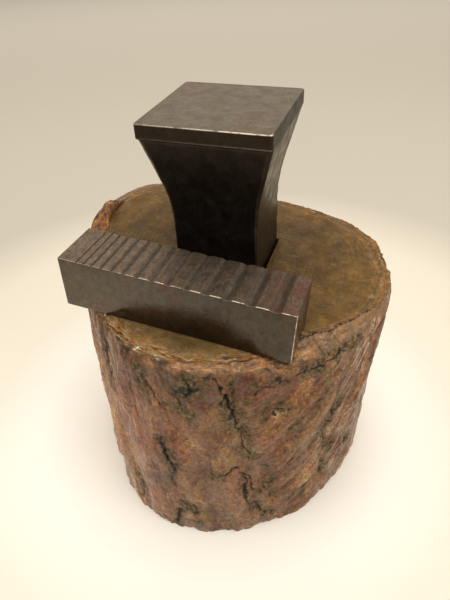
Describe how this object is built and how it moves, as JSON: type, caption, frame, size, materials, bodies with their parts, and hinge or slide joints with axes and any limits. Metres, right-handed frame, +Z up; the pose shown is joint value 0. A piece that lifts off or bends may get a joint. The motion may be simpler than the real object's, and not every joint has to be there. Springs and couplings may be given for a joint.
{
  "type": "jewelers anvil",
  "caption": "Square-faced stake anvil with a flared head, standing in the mortise of a short bark-covered log, with a loose grooved steel forming bar lying across the log.",
  "frame": {"origin": "underside of the log, straight below the anvil's axis", "axes": "+Z up along the anvil's axis; +X to the right, along the anvil's front face and nearly along the bar; the bar lies in front, towards -Y"},
  "size_m": [0.2033, 0.1846, 0.24],
  "materials": {
    "log_wood": "sawn pine end grain, darkened and varnished",
    "log_bark": "pine bark under gloss varnish, reddish brown with dark furrows",
    "anvil_steel": "forged steel, dark oxidised, semi-gloss",
    "face_steel": "worn hardened steel with fine grain and bright worn edges",
    "bar_steel": "ground tool steel, warm grey, bright on the crests of the grooves"
  },
  "bodies": {
    "stump": {"stump_wood": "log_wood", "bark_front": "log_bark", "bark_front_right": "log_bark", "bark_right": "log_bark", "bark_back_right": "log_bark", "bark_back": "log_bark", "bark_back_left": "log_bark", "bark_left": "log_bark", "bark_front_left": "log_bark"},
    "anvil": {"anvil_body": "anvil_steel", "face_plate": "face_steel"},
    "bar": {"forming_bar": "bar_steel"}
  },
  "joints": [
    {"name": "anvil_lift", "type": "slide", "parent": "stump", "child": "anvil", "axis": [0, 0, 1], "range_m": [0, 0.1]},
    {"name": "bar_lift", "type": "slide", "parent": "stump", "child": "bar", "axis": [0, 0, 1], "range_m": [0, 0.1]}
  ]
}
